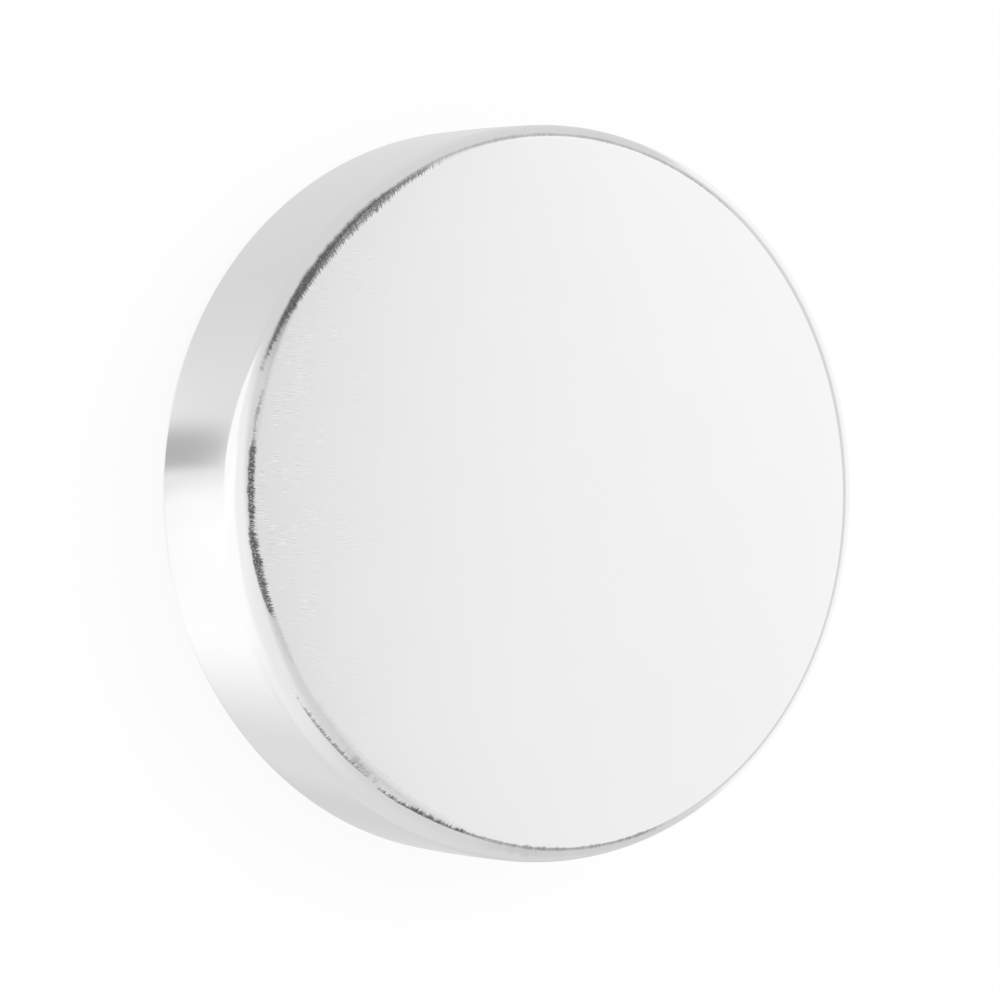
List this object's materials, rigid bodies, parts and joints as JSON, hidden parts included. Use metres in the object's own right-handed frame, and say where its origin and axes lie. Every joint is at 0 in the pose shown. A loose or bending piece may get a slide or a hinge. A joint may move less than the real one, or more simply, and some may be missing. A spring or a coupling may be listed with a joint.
{
  "type": "disc magnet",
  "caption": "Flat, solid round magnet with two parallel pole faces, a smooth outer wall and rounded rims, in bright nickel plate.",
  "frame": {"origin": "centre of the lower pole face, which the disc lies on", "axes": "+Z along the disc's axis, up through the upper pole face"},
  "size_m": [0.018, 0.018, 0.004],
  "materials": {
    "nickel_plate": "bright nickel plate, smooth on the wall and satin ground on the pole faces"
  },
  "bodies": {
    "root": {"disc_magnet": "nickel_plate"}
  },
  "joints": []
}
